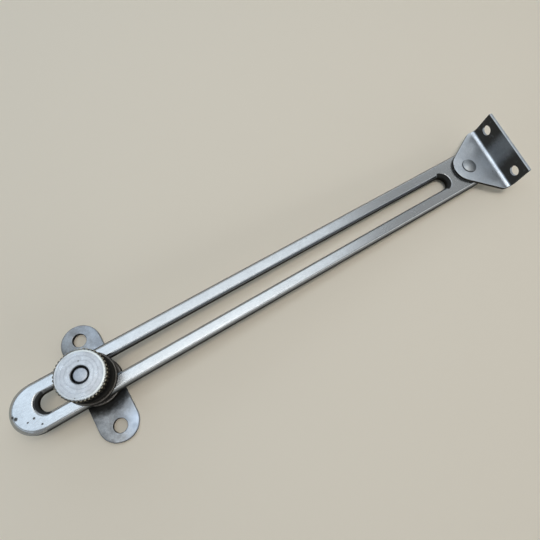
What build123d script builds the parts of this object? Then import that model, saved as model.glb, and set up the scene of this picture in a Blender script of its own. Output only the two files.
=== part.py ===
"""Slotted lid stay: a screwed base plate with a stud, a slotted arm that turns and slides on it,
a knurled nut that clamps the arm, and an angle bracket on a rivet at the arm's far end.

Millimetres. The origin is on the underside of the base plate, on the stud's axis. +Z runs up the
stud and +X along the arm, from the stud towards the bracket. One STEP file per piece.
"""
from build123d import *
from math import atan2, cos, radians, sin, sqrt
import os

# Base plate: a flat plate with round ends, one screw hole in each, across the arm.
PLATE_LENGTH = 43.6
PLATE_WIDTH = 13.4
PLATE_THICKNESS = 1.6
PLATE_EDGE_BEVEL = 0.35
SCREW_SPACING = 33.0
SCREW_HOLE = 4.7
SCREW_HOLE_CHAMFER = 0.25

# Stud: riveted into the plate, plain where the arm slides, threaded above it.
THREAD_DIAMETER = 4.9
SHANK_RELIEF = 0.3
STUD_END_CHAMFER = 0.45
SHOULDER_DIAMETER = 7.0
SHOULDER_HEIGHT = 1.0
TAIL_DIAMETER = 6.6
TAIL_HEIGHT = 0.9
STUD_BELOW_FACE = 0.5

# Spacer collar: turned ring with a flange below and a hub that carries the arm.
COLLAR_FLANGE_DIAMETER = 16.4
COLLAR_FLANGE_HEIGHT = 3.4
COLLAR_HUB_DIAMETER = 11.2
COLLAR_HUB_HEIGHT = 3.4
COLLAR_EDGE_BEVEL = 0.4

# Slotted arm: flat bar with a long slot, well bevelled along its upper edges.
ARM_LENGTH = 203.2
ARM_WIDTH = 16.0
ARM_THICKNESS = 3.4
ARM_TOP_BEVEL = 1.3
SLOT_TOP_BEVEL = 1.2
ARM_UNDER_BEVEL = 0.3
TIP_TO_SLOT = 8.7
SLOT_TO_RIVET = 12.2
TIP_TO_STUD = 25.6
SLOT_PLAY = 0.7
SLOT_SIDE_GAP = 0.3

# Clamp washer between the arm and the nut.
WASHER_DIAMETER = 16.8
WASHER_THICKNESS = 1.2
WASHER_EDGE_BEVEL = 0.3
WASHER_BORE_PLAY = 0.3

# Thumb nut: flange, narrow neck and knurled head with a recess for the end of the stud.
NUT_FLANGE_DIAMETER = 15.8
NUT_FLANGE_HEIGHT = 2.8
NUT_FLANGE_BEVEL = 0.35
NUT_NECK_DIAMETER = 12.6
NUT_NECK_HEIGHT = 3.4
NUT_HEAD_DIAMETER = 15.7
NUT_HEAD_HEIGHT = 3.6
NUT_FACE_DIAMETER = 14.3
NUT_FACE_CHAMFER = 0.45
NUT_RECESS_DEPTH = 2.4
NUT_RECESS_PLAY = 0.2
NUT_RECESS_CHAMFER = 0.2
KNURL_TEETH = 42
KNURL_DEPTH = 0.45

# Angle bracket: folded from sheet, with a tapered tongue and an upright flange.
SHEET_THICKNESS = 1.2
TONGUE_RADIUS = 7.0
RIVET_TO_FLANGE = 12.4
FLANGE_LENGTH = 29.6
FLANGE_RISE = 12.7
BEND_INNER_RADIUS = 2.5
TAPER_TO_FLANGE = 3.4
TONGUE_CORNER_ROUND = 2.8
FLANGE_CORNER_ROUND = 0.5
FLANGE_SCREW_SPACING = 21.5
FLANGE_SCREW_HOLE = 4.2
FLANGE_SCREW_DROP = 5.9
BRACKET_TURN = -9.0

# Pivot rivet: domed head on the bracket, formed tail under the arm.
RIVET_DIAMETER = 4.0
RIVET_HEAD_DIAMETER = 5.9
RIVET_HEAD_HEIGHT = 1.1
RIVET_HEAD_BAND = 0.45
RIVET_TAIL_DIAMETER = 6.4
RIVET_TAIL_HEIGHT = 0.9
RIVET_TAIL_BEVEL = 0.4

# Clearance on radius between a round part and the bore it turns in.
RUNNING_CLEARANCE = 0.05

# Points nearer to each other than this count as one place when edges are picked.
SAME_PLACE = 0.01

# Heights of the stack on the stud.
SHANK_DIAMETER = THREAD_DIAMETER - SHANK_RELIEF
SLOT_WIDTH = SHANK_DIAMETER + 2 * SLOT_PLAY
COLLAR_BASE = PLATE_THICKNESS
ARM_BASE = COLLAR_BASE + COLLAR_FLANGE_HEIGHT + COLLAR_HUB_HEIGHT
ARM_TOP = ARM_BASE + ARM_THICKNESS
NUT_BASE = ARM_TOP + WASHER_THICKNESS
NUT_TOP = NUT_BASE + NUT_FLANGE_HEIGHT + NUT_NECK_HEIGHT + NUT_HEAD_HEIGHT

# Places along and across the arm. The arm lies over to one side of the stud by its play.
ARM_LINE = SLOT_PLAY - SLOT_SIDE_GAP
ARM_TIP = -TIP_TO_STUD
RIVET_X = ARM_TIP + ARM_LENGTH - ARM_WIDTH / 2
SLOT_START = ARM_TIP + TIP_TO_SLOT
SLOT_END = RIVET_X - SLOT_TO_RIVET


def disc(diameter, base, height):
    """Upright cylinder on the stud's axis."""
    round_bar = Cylinder(diameter / 2, height, align=(Align.CENTER, Align.CENTER, Align.MIN))
    return Pos(0, 0, base) * round_bar


def edges_at(shape, height):
    """Edges of a shape that lie flat at one height."""
    return shape.edges().filter_by_position(Axis.Z, height, height)


def obround(x_start, x_end, width, line, base, height):
    """Upright bar with round ends from x_start to x_end, centred on y = line."""
    middle = (x_start + x_end) / 2
    outline = Pos(middle, line, base) * SlotOverall(x_end - x_start, width)
    return extrude(outline, height)


def base_plate():
    """Flat plate with round ends, two screw holes and the hole for the stud's riveted end."""
    plate = extrude(SlotOverall(PLATE_LENGTH, PLATE_WIDTH, rotation=90), PLATE_THICKNESS)
    plate = chamfer(edges_at(plate, PLATE_THICKNESS), PLATE_EDGE_BEVEL)
    for side in (-1, 1):
        screw = Pos(0, side * SCREW_SPACING / 2, 0)
        plate -= screw * disc(SCREW_HOLE, 0, PLATE_THICKNESS)
        plate -= screw * chamfer_cone(SCREW_HOLE, PLATE_THICKNESS, SCREW_HOLE_CHAMFER)
    return plate - stud_tail(RUNNING_CLEARANCE)


def chamfer_cone(diameter, top, size):
    """Cone that breaks the upper edge of a hole."""
    radius = diameter / 2
    cone = Cone(radius, radius + size, size, align=(Align.CENTER, Align.CENTER, Align.MAX))
    return Pos(0, 0, top) * cone


def stud_tail(clearance):
    """The stud's riveted end in the plate, or the hole for it when given a clearance."""
    tail = SHANK_DIAMETER / 2 + clearance
    foot = TAIL_DIAMETER / 2 + clearance
    profile = Polyline(
        (0, 0),
        (foot, 0),
        (tail, TAIL_HEIGHT),
        (tail, PLATE_THICKNESS),
        (0, PLATE_THICKNESS),
        close=True,
    )
    return turned(profile)


def turned(profile):
    """Solid of revolution about the stud's axis from an outline in radius and height."""
    face = make_face(Plane.XZ * profile)
    return revolve(face, Axis.Z)


def threaded_stud():
    """Stud with a shoulder on the plate, a plain shank for the arm and a wider threaded end."""
    shank = SHANK_DIAMETER / 2
    thread = THREAD_DIAMETER / 2
    shoulder = SHOULDER_DIAMETER / 2
    shoulder_top = PLATE_THICKNESS + SHOULDER_HEIGHT
    end = NUT_TOP - STUD_BELOW_FACE
    profile = Polyline(
        (0, PLATE_THICKNESS),
        (shoulder, PLATE_THICKNESS),
        (shoulder, shoulder_top),
        (shank, shoulder_top),
        (shank, ARM_TOP),
        (thread, ARM_TOP + SHANK_RELIEF / 2),
        (thread, end - STUD_END_CHAMFER),
        (thread - STUD_END_CHAMFER, end),
        (0, end),
        close=True,
    )
    return turned(profile) + stud_tail(0)


def spacer_collar():
    """Flanged ring on the stud that carries the arm on its hub, bored to clear the shoulder."""
    flange = disc(COLLAR_FLANGE_DIAMETER, COLLAR_BASE, COLLAR_FLANGE_HEIGHT)
    flange = chamfer(edges_at(flange, COLLAR_BASE + COLLAR_FLANGE_HEIGHT), COLLAR_EDGE_BEVEL)
    collar = flange + disc(COLLAR_HUB_DIAMETER, COLLAR_BASE, ARM_BASE - COLLAR_BASE)
    bore = SHANK_DIAMETER + 2 * RUNNING_CLEARANCE
    seat = SHOULDER_DIAMETER + 2 * RUNNING_CLEARANCE
    collar -= disc(bore, COLLAR_BASE, ARM_BASE - COLLAR_BASE)
    return collar - disc(seat, COLLAR_BASE, SHOULDER_HEIGHT + RUNNING_CLEARANCE)


def slotted_arm():
    """Flat bar with a long slot for the stud and a bore for the rivet, bevelled along its top."""
    bar = obround(ARM_TIP, ARM_TIP + ARM_LENGTH, ARM_WIDTH, ARM_LINE, ARM_BASE, ARM_THICKNESS)
    bar = chamfer(edges_at(bar, ARM_TOP), ARM_TOP_BEVEL)
    bar = chamfer(edges_at(bar, ARM_BASE), ARM_UNDER_BEVEL)
    bar -= obround(SLOT_START, SLOT_END, SLOT_WIDTH, ARM_LINE, ARM_BASE, ARM_THICKNESS)
    rim = edges_at(bar, ARM_TOP).filter_by(is_slot_edge)
    bar = chamfer(rim, SLOT_TOP_BEVEL)
    bore = RIVET_DIAMETER + 2 * RUNNING_CLEARANCE
    return bar - Pos(RIVET_X, ARM_LINE, 0) * disc(bore, ARM_BASE, ARM_THICKNESS)


def is_slot_edge(edge):
    """True for an edge on the rim of the slot."""
    middle = edge.position_at(0.5)
    within = abs(middle.Y - ARM_LINE) < SLOT_WIDTH / 2 + SAME_PLACE
    return within and SLOT_START - SAME_PLACE < middle.X < SLOT_END + SAME_PLACE


def clamp_washer():
    """Loose washer on the arm, under the nut."""
    washer = disc(WASHER_DIAMETER, ARM_TOP, WASHER_THICKNESS)
    washer = chamfer(edges_at(washer, NUT_BASE), WASHER_EDGE_BEVEL)
    return washer - disc(THREAD_DIAMETER + 2 * WASHER_BORE_PLAY, ARM_TOP, WASHER_THICKNESS)


def knurl_ring():
    """Star-shaped prism that bounds the nut's head with its straight knurl."""
    crest = NUT_HEAD_DIAMETER / 2
    root = crest - KNURL_DEPTH
    points = []
    for step in range(2 * KNURL_TEETH):
        radius = crest if step % 2 == 0 else root
        angle = step * 180 / KNURL_TEETH
        points.append((radius * cos(radians(angle)), radius * sin(radians(angle))))
    star = make_face(Polyline(*points, close=True))
    return extrude(Pos(0, 0, NUT_TOP - NUT_HEAD_HEIGHT) * star, NUT_HEAD_HEIGHT)


def thumb_nut():
    """Nut with a smooth flange, a narrow neck and a knurled head, recessed round the stud's end."""
    flange = disc(NUT_FLANGE_DIAMETER, NUT_BASE, NUT_FLANGE_HEIGHT)
    flange = chamfer(edges_at(flange, NUT_BASE + NUT_FLANGE_HEIGHT), NUT_FLANGE_BEVEL)
    neck = disc(NUT_NECK_DIAMETER, NUT_BASE, NUT_TOP - NUT_BASE)
    crest = NUT_HEAD_DIAMETER / 2
    face = NUT_FACE_DIAMETER / 2
    head_base = NUT_TOP - NUT_HEAD_HEIGHT
    envelope = turned(
        Polyline(
            (0, head_base),
            (crest - KNURL_DEPTH, head_base),
            (crest, head_base + KNURL_DEPTH),
            (crest, NUT_TOP - NUT_FACE_CHAMFER),
            (face, NUT_TOP),
            (0, NUT_TOP),
            close=True,
        )
    )
    nut = flange + neck + (knurl_ring() & envelope)
    recess = THREAD_DIAMETER + 2 * NUT_RECESS_PLAY
    nut -= disc(THREAD_DIAMETER + 2 * RUNNING_CLEARANCE, NUT_BASE, NUT_TOP - NUT_BASE)
    nut -= disc(recess, NUT_TOP - NUT_RECESS_DEPTH, NUT_RECESS_DEPTH)
    return nut - chamfer_cone(recess, NUT_TOP, NUT_RECESS_CHAMFER)


def tongue_outline():
    """Plan of the bracket about its rivet: a round tip that widens on tangents to the flange."""
    corner_x = RIVET_TO_FLANGE - TAPER_TO_FLANGE
    corner_y = FLANGE_LENGTH / 2
    reach = sqrt(corner_x**2 + corner_y**2)
    lean = atan2(corner_y, corner_x) + atan2(sqrt(reach**2 - TONGUE_RADIUS**2), TONGUE_RADIUS)
    touch = (TONGUE_RADIUS * cos(lean), TONGUE_RADIUS * sin(lean))
    back = RIVET_TO_FLANGE + SHEET_THICKNESS
    outline = Polyline(
        touch,
        (corner_x, corner_y),
        (back, corner_y),
        (back, -corner_y),
        (corner_x, -corner_y),
        (touch[0], -touch[1]),
    )
    tip = ThreePointArc((touch[0], -touch[1]), (-TONGUE_RADIUS, 0), touch)
    return make_face(Curve() + [outline, tip])


def folded_sheet():
    """Sheet folded up at a right angle, as long as the flange, with its bend along Y."""
    back = RIVET_TO_FLANGE + SHEET_THICKNESS
    outer = BEND_INNER_RADIUS + SHEET_THICKNESS
    profile = Polyline(
        (-TONGUE_RADIUS, 0),
        (back, 0),
        (back, FLANGE_RISE),
        (RIVET_TO_FLANGE, FLANGE_RISE),
        (RIVET_TO_FLANGE, SHEET_THICKNESS),
        (-TONGUE_RADIUS, SHEET_THICKNESS),
        close=True,
    )
    sheet = extrude(make_face(Plane.XZ * profile), FLANGE_LENGTH / 2, both=True)
    along = sheet.edges().filter_by(Axis.Y)
    inner = along.sort_by_distance((RIVET_TO_FLANGE, 0, SHEET_THICKNESS))[0]
    sheet = fillet(inner, BEND_INNER_RADIUS)
    below = sheet.edges().filter_by(Axis.Y).sort_by_distance((back, 0, 0))[0]
    return fillet(below, outer)


def angle_bracket():
    """Folded bracket on the arm: a tapered tongue round the rivet and a flange with two holes."""
    outline = extrude(tongue_outline(), FLANGE_RISE)
    bracket = folded_sheet() & outline
    corner_x = RIVET_TO_FLANGE - TAPER_TO_FLANGE
    upright = bracket.edges().filter_by(Axis.Z)
    corners = upright.filter_by_position(Axis.X, corner_x - SAME_PLACE, corner_x + SAME_PLACE)
    bracket = fillet(corners, TONGUE_CORNER_ROUND)
    ends = bracket.edges().filter_by(Axis.X).filter_by_position(Axis.Z, FLANGE_RISE, FLANGE_RISE)
    bracket = fillet(ends, FLANGE_CORNER_ROUND)
    bracket -= disc(RIVET_DIAMETER + 2 * RUNNING_CLEARANCE, 0, SHEET_THICKNESS)
    for side in (-1, 1):
        hole = Cylinder(FLANGE_SCREW_HOLE / 2, SHEET_THICKNESS, rotation=(0, 90, 0))
        height = FLANGE_RISE - FLANGE_SCREW_DROP
        middle = RIVET_TO_FLANGE + SHEET_THICKNESS / 2
        bracket -= Pos(middle, side * FLANGE_SCREW_SPACING / 2, height) * hole
    return Pos(RIVET_X, ARM_LINE, ARM_TOP) * Rot(0, 0, BRACKET_TURN) * bracket


def pivot_rivet():
    """Rivet through the arm and the bracket, with a low domed head and a flat formed tail."""
    bracket_top = ARM_TOP + SHEET_THICKNESS
    shank = disc(RIVET_DIAMETER, ARM_BASE, bracket_top - ARM_BASE)
    tail = disc(RIVET_TAIL_DIAMETER, ARM_BASE - RIVET_TAIL_HEIGHT, RIVET_TAIL_HEIGHT)
    tail = chamfer(edges_at(tail, ARM_BASE - RIVET_TAIL_HEIGHT), RIVET_TAIL_BEVEL)
    edge = (RIVET_HEAD_DIAMETER / 2, bracket_top + RIVET_HEAD_BAND)
    crown = (0, bracket_top + RIVET_HEAD_HEIGHT)
    dome_rise = RIVET_HEAD_HEIGHT - RIVET_HEAD_BAND
    dome_radius = (edge[0] ** 2 + dome_rise**2) / (2 * dome_rise)
    half = atan2(edge[0], dome_radius - dome_rise) / 2
    middle = (dome_radius * sin(half), crown[1] - dome_radius * (1 - cos(half)))
    sides = Polyline(crown, (0, bracket_top), (edge[0], bracket_top), edge)
    head = turned(Curve() + [sides, ThreePointArc(edge, middle, crown)])
    return Pos(RIVET_X, ARM_LINE, 0) * (shank + tail + head)


PIECES = {
    "base_plate": base_plate,
    "threaded_stud": threaded_stud,
    "spacer_collar": spacer_collar,
    "slotted_arm": slotted_arm,
    "clamp_washer": clamp_washer,
    "thumb_nut": thumb_nut,
    "angle_bracket": angle_bracket,
    "pivot_rivet": pivot_rivet,
}

os.makedirs("parts", exist_ok=True)
for name, make in PIECES.items():
    export_step(make(), f"parts/{name}.step")
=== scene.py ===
"""Slotted lid stay with its screw plate, knurled nut and angle bracket, on a plain pale bench.

Sizes in the dataclasses are millimetres. Blender works in metres, and MM turns one into the other.
The frame is the part's own: the origin under the screw plate, +Z up the stud, +X along the arm.
"""
import logging
import math
from collections.abc import Callable, Mapping, Sequence
from dataclasses import dataclass
from enum import Enum

import bmesh
import bpy
from mathutils import Matrix, Vector


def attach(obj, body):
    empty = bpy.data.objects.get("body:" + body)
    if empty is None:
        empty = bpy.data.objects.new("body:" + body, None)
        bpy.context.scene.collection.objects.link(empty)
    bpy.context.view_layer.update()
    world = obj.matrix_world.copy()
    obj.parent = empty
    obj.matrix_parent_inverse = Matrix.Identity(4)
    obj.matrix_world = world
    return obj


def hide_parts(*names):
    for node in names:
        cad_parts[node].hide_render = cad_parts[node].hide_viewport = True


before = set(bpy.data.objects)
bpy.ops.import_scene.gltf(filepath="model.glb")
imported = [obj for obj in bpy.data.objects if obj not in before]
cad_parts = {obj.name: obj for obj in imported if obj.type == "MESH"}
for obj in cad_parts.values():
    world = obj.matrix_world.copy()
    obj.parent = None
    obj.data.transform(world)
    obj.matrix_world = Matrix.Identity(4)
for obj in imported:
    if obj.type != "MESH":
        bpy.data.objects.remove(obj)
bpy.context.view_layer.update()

LOG = logging.getLogger("lid_stay")
MM = 0.001
SAME_PLACE = 1e-6
Point = tuple[float, float, float]
Colour = tuple[float, float, float]
Test = Callable[[Vector, Vector], bool]
Corner = tuple[float, float, float]
Edge = tuple[float, float]

# Millimetres and degrees that several pieces share.
ARM_LINE = 0.4
ARM_BASE = 8.4
ARM_TOP = 11.8
SLOT_START = -13.9
SLOT_END = 154.4
RIVET_X = 169.6
SHEET_TOP = 13.0
PLATE_TOP = 1.6
NUT_BASE = 13.0
FLANGE_INSIDE = 12.4
BRACKET_TURN = -9.0

# Tolerances of selections, in millimetres and degrees.
NEAR = 0.1
TOUCH = 0.01
CORNER = 60.0


class Part(Enum):
    """What a selection in edit mode is made of."""

    POINTS = "VERT"
    EDGES = "EDGE"
    FACES = "FACE"


# ---------------------------------------------------------------------------------------------
# Shaping
# ---------------------------------------------------------------------------------------------


class Blank:
    """A mesh that starts as one point and is shaped in edit mode, in millimetres."""

    def __init__(self, name: str, at: Point) -> None:
        """Starts the mesh.

        Args:
            name: The object's name.
            at: Place of its first point.
        """
        bpy.ops.object.select_all(action="DESELECT")
        bpy.ops.mesh.primitive_plane_add(size=MM, location=(0, 0, 0))
        self.piece = bpy.context.active_object
        self.piece.name = name
        self.piece.data.name = name
        bpy.ops.object.mode_set(mode="EDIT")
        bpy.ops.mesh.select_mode(type="VERT")
        bpy.ops.mesh.select_all(action="SELECT")
        bpy.ops.mesh.merge(type="CENTER")
        self.at = Vector((0, 0, 0))
        self.move(at)
        self.at = Vector(at)

    def point(self, at: Point) -> "Blank":
        """Adds a loose point and goes on from it.

        Args:
            at: Place of the point.

        Returns:
            This blank.
        """
        bpy.ops.mesh.select_mode(type="VERT")
        bpy.ops.mesh.select_all(action="DESELECT")
        bpy.ops.mesh.primitive_plane_add(size=MM, location=Vector(at) * MM)
        bpy.ops.mesh.merge(type="CENTER")
        self.at = Vector(at)
        return self

    def line(self, *stops: Point) -> "Blank":
        """Draws straight edges from the last point.

        Args:
            stops: Places of the next points, in order.

        Returns:
            This blank.
        """
        for stop in stops:
            step = (Vector(stop) - self.at) * MM
            bpy.ops.mesh.extrude_vertices_move(TRANSFORM_OT_translate={"value": step})
            self.at = Vector(stop)
        return self

    def arc(self, centre: Point, turn: float, steps: int) -> "Blank":
        """Draws an arc in plan from the last point.

        Args:
            centre: Centre of the arc.
            turn: Angle in degrees, counter-clockwise from above.
            steps: Number of edges.

        Returns:
            This blank.
        """
        middle = Vector(centre)
        bpy.ops.mesh.spin(
            steps=steps, angle=-math.radians(turn), center=middle * MM, axis=(0, 0, 1)
        )
        self.at = middle + Matrix.Rotation(math.radians(turn), 3, "Z") @ (self.at - middle)
        return self

    def join(self) -> "Blank":
        """Merges points that lie at one place, and leaves everything selected.

        Returns:
            This blank.
        """
        bpy.ops.mesh.select_all(action="SELECT")
        bpy.ops.mesh.remove_doubles(threshold=SAME_PLACE)
        return self

    def pick(self, part: Part, test: Test, least: float | None = None) -> "Blank":
        """Selects points, edges or faces by place and direction, and nothing else.

        Args:
            part: Kind of element.
            test: Takes the middle in millimetres and the normal, or an edge's direction.
            least: Takes only edges whose two faces meet at more than this angle, in degrees.

        Returns:
            This blank.
        """
        bpy.ops.mesh.select_mode(type=part.value)
        bpy.ops.mesh.select_all(action="DESELECT")
        mesh = bmesh.from_edit_mesh(self.piece.data)
        mesh.normal_update()
        if part is Part.POINTS:
            spots = [(v, v.co, v.normal) for v in mesh.verts]
        elif part is Part.EDGES:
            spots = []
            for edge in mesh.edges:
                first, last = (v.co for v in edge.verts)
                if least is None or math.degrees(edge.calc_face_angle(0)) > least:
                    spots.append((edge, (first + last) / 2, (last - first).normalized()))
        else:
            spots = [(f, f.calc_center_median(), f.normal) for f in mesh.faces]
        for element, middle, way in spots:
            if test(middle / MM, way):
                element.select_set(True)
        bmesh.update_edit_mesh(self.piece.data)
        return self

    def ease(self, test: Test, least: float, radius: float, segments: int) -> "Blank":
        """Rounds the edges that pass a test and are sharper than an angle."""
        return self.pick(Part.EDGES, test, least).soften(radius, segments)

    def close(self) -> "Blank":
        """Merges points that lie at one place and turns every face outward.

        Returns:
            This blank.
        """
        self.join()
        bpy.ops.mesh.normals_make_consistent(inside=False)
        return self

    def everything(self) -> "Blank":
        """Selects the whole mesh."""
        bpy.ops.mesh.select_all(action="SELECT")
        return self

    def fill(self) -> "Blank":
        """Makes a face of the selected loop."""
        bpy.ops.mesh.edge_face_add()
        return self

    def bridge(self) -> "Blank":
        """Joins the selected loops by a ring of faces."""
        bpy.ops.mesh.bridge_edge_loops()
        return self

    def extrude(self, step: Point) -> "Blank":
        """Extrudes the selected faces by a step."""
        bpy.ops.mesh.extrude_region_move(TRANSFORM_OT_translate={"value": Vector(step) * MM})
        return self

    def fold(self, centre: Point, axis: Point, turn: float, steps: int) -> "Blank":
        """Carries the selected faces round an axis, as a bend does.

        Args:
            centre: A point on the axis.
            axis: Direction of the axis.
            turn: Angle in degrees, counter-clockwise when seen against the axis.
            steps: Number of segments.

        Returns:
            This blank.
        """
        bpy.ops.mesh.spin(
            steps=steps, angle=-math.radians(turn), center=Vector(centre) * MM, axis=axis
        )
        return self

    def soften(self, radius: float, segments: int = 3, points: bool = False) -> "Blank":
        """Rounds the selected edges or points.

        Args:
            radius: How far the rounding reaches.
            segments: Number of segments across it.
            points: Rounds the corners of an outline instead of edges.

        Returns:
            This blank.
        """
        bpy.ops.mesh.bevel(
            offset=radius * MM,
            offset_type="OFFSET",
            segments=segments,
            profile=0.5,
            affect="VERTICES" if points else "EDGES",
        )
        return self

    def move(self, step: Point) -> "Blank":
        """Moves the selection by a step."""
        bpy.ops.transform.translate(value=Vector(step) * MM)
        return self

    def turn(self, angle: float, centre: Point) -> "Blank":
        """Turns the selection in plan, in degrees, counter-clockwise from above."""
        bpy.ops.transform.rotate(
            value=-math.radians(angle), orient_axis="Z", center_override=Vector(centre) * MM
        )
        return self

    def shrink(self, factor: float) -> "Blank":
        """Draws the selection in towards the stud's axis."""
        bpy.ops.transform.resize(value=(factor, factor, 1), center_override=(0, 0, 0))
        return self

    def lathe(self, steps: int) -> "Blank":
        """Spins the whole outline once round the stud's axis.

        Args:
            steps: Segments round the axis.

        Returns:
            This blank.
        """
        self.everything()
        bpy.ops.mesh.spin(
            steps=steps, angle=2 * math.pi, center=(0, 0, 0), axis=(0, 0, 1), use_auto_merge=True
        )
        return self.join()

    def cut(self, tool: bpy.types.Object) -> "Blank":
        """Cuts the piece with another mesh, which is used up.

        Args:
            tool: The cutting mesh.

        Returns:
            This blank.
        """
        bpy.ops.object.mode_set(mode="OBJECT")
        knife = self.piece.modifiers.new("cut", "BOOLEAN")
        knife.operation = "DIFFERENCE"
        knife.solver = "EXACT"
        knife.object = tool
        bpy.ops.object.select_all(action="DESELECT")
        bpy.context.view_layer.objects.active = self.piece
        self.piece.select_set(True)
        bpy.ops.object.modifier_apply(modifier=knife.name)
        bpy.data.objects.remove(tool, do_unlink=True)
        bpy.ops.object.mode_set(mode="EDIT")
        return self

    def finish(self, smooth: float = 35) -> bpy.types.Object:
        """Closes the mesh and shades it.

        Args:
            smooth: Faces that meet at less than this angle are shaded as one, in degrees.

        Returns:
            The finished object.
        """
        self.close()
        bpy.ops.object.mode_set(mode="OBJECT")
        bpy.ops.object.shade_smooth_by_angle(angle=math.radians(smooth))
        even = self.piece.modifiers.new("even", "WEIGHTED_NORMAL")
        even.keep_sharp = True
        even.weight = 80
        bpy.ops.object.modifier_apply(modifier=even.name)
        return self.piece


def drill(radius: float, at: Point, depth: float, along: Point, steps: int) -> bpy.types.Object:
    """Makes a round cutter.

    Args:
        radius: Radius of the hole.
        at: Middle of the cutter.
        depth: Length of the cutter.
        along: Direction of the hole.
        steps: Number of sides.

    Returns:
        The cutter.
    """
    bpy.ops.object.mode_set(mode="OBJECT")
    bpy.ops.object.select_all(action="DESELECT")
    lean = Vector((0, 0, 1)).rotation_difference(Vector(along)).to_euler()
    bpy.ops.mesh.primitive_cylinder_add(
        vertices=steps,
        radius=radius * MM,
        depth=depth * MM,
        location=Vector(at) * MM,
        rotation=lean,
    )
    return bpy.context.active_object


def rounded(corners: Sequence[Corner], steps: int = 4) -> list[Point]:
    """Rounds the corners of an outline for the lathe.

    Args:
        corners: Radius, height and rounding of each corner, in order.
        steps: Edges in each rounded corner.

    Returns:
        The points of the outline in the plane y = 0.
    """
    points: list[Point] = []
    count = len(corners)
    for index, (radius, height, round_off) in enumerate(corners):
        here = Vector((radius, height))
        if round_off <= 0 or index in (0, count - 1):
            points.append((radius, 0.0, height))
            continue
        back = (Vector(corners[index - 1][:2]) - here).normalized()
        ahead = (Vector(corners[index + 1][:2]) - here).normalized()
        half = back.angle(ahead) / 2
        reach = round_off / math.tan(half)
        centre = here + (back + ahead).normalized() * (round_off / math.sin(half))
        first, last = here + back * reach - centre, here + ahead * reach - centre
        swing = first.angle_signed(last)
        for step in range(steps + 1):
            spoke = Matrix.Rotation(-swing * step / steps, 2) @ first
            points.append((centre.x + spoke.x, 0.0, centre.y + spoke.y))
    return points


def turned(name: str, corners: Sequence[Corner], steps: int, closed: bool) -> Blank:
    """Turns a piece about the stud's axis.

    Args:
        name: The object's name.
        corners: Radius, height and rounding of each corner of the outline.
        steps: Segments round the axis.
        closed: The outline ends where it began, as that of a ring does.

    Returns:
        The turned blank, still in edit mode.
    """
    outline = rounded(corners)
    blank = Blank(name, outline[0]).line(*outline[1:])
    if closed:
        blank.line(outline[0]).join()
    return blank.lathe(steps)


# ---------------------------------------------------------------------------------------------
# Finishes
# ---------------------------------------------------------------------------------------------


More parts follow.
